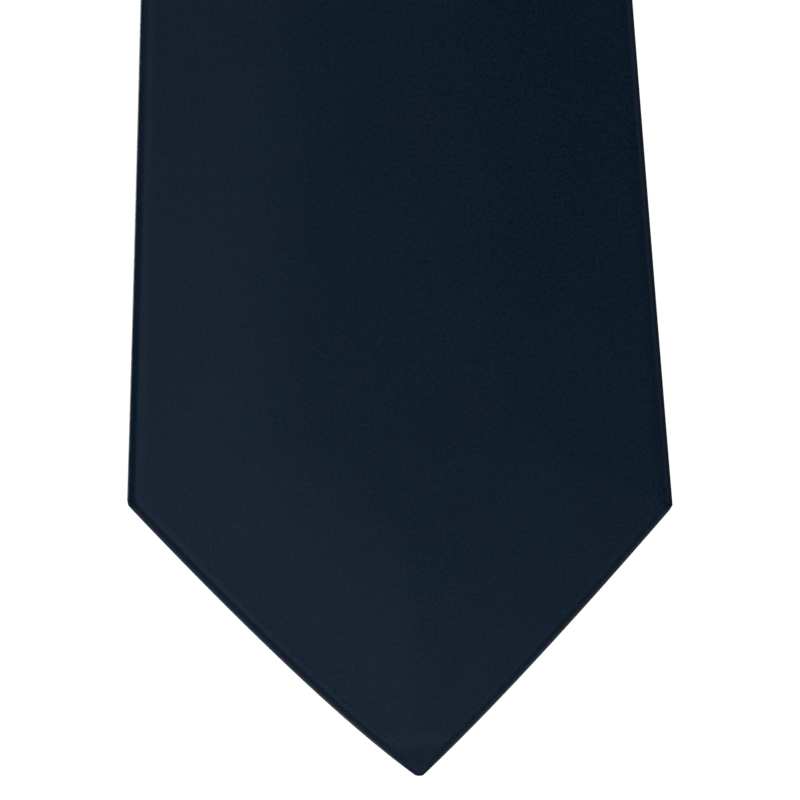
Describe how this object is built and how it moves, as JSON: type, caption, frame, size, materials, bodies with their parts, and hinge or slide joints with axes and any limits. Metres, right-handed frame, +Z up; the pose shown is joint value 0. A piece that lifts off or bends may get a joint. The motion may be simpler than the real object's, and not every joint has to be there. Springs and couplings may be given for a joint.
{
  "type": "necktie",
  "caption": "Long pointed necktie hanging over a rail: folded cloth envelope with interlining, lined points, keeper loop, bar tacks and a blank label.",
  "frame": {"origin": "on the axis of the rail that the tie's neck hangs over, midway across the tie; the rail itself is not part of the object", "axes": "+Z up, +X across the tie along the rail, -Y towards the face of the front blade, +Y towards the face of the tail"},
  "size_m": [0.085, 0.019, 0.889],
  "materials": {
    "navy_twill": "very dark navy fine twill, matte with a faint satin sheen",
    "navy_lining": "dark navy satin lining",
    "wool_canvas": "undyed woven wool canvas",
    "brushed_ply": "soft brushed cotton, off white",
    "label_satin": "ivory woven satin ribbon, blank",
    "navy_thread": "navy silk sewing thread"
  },
  "bodies": {
    "front_leg": {"blade_shell": "navy_twill", "neck_shell_front": "navy_twill", "neck_shell_fold": "navy_twill", "blade_interlining": "wool_canvas", "neck_interlining_fold": "wool_canvas", "blade_brushed_ply": "brushed_ply", "blade_tipping": "navy_lining", "blade_slip_stitch": "navy_thread", "neck_slip_stitch": "navy_thread", "blade_bar_tack": "navy_thread", "keeper_loop": "navy_twill", "keeper_tack_left": "navy_thread", "keeper_tack_right": "navy_thread", "label_stitch": "navy_thread"},
    "blade_tip": {"tip_shell": "navy_twill", "tip_interlining": "wool_canvas", "tip_brushed_ply": "brushed_ply", "tip_tipping": "navy_lining"},
    "tail_leg": {"neck_shell_tail": "navy_twill", "tail_shell": "navy_twill", "tail_interlining": "wool_canvas", "tail_slip_stitch": "navy_thread"},
    "tail_end": {"tail_end_shell": "navy_twill", "tail_end_interlining": "wool_canvas", "tail_end_tipping": "navy_lining", "tail_end_slip_stitch": "navy_thread", "tail_bar_tack": "navy_thread"},
    "label": {"care_label": "label_satin"}
  },
  "joints": [
    {"name": "tail_swing", "type": "hinge", "parent": "front_leg", "child": "tail_leg", "pos_m": [0, 0, 0], "axis": [1, 0, 0], "range_deg": [0, 178], "deforming": ["neck_shell_fold", "neck_interlining_fold", "neck_slip_stitch"]},
    {"name": "tip_fold", "type": "hinge", "parent": "front_leg", "child": "blade_tip", "pos_m": [0, -0.01, -0.822], "axis": [-1, 0, 0], "range_deg": [0, 175]},
    {"name": "tail_fold", "type": "hinge", "parent": "tail_leg", "child": "tail_end", "pos_m": [0, 0.01, -0.295], "axis": [1, 0, 0], "range_deg": [0, 175]},
    {"name": "label_flip", "type": "hinge", "parent": "front_leg", "child": "label", "pos_m": [0, -0.00415, -0.71], "axis": [1, 0, 0], "range_deg": [0, 150]}
  ]
}
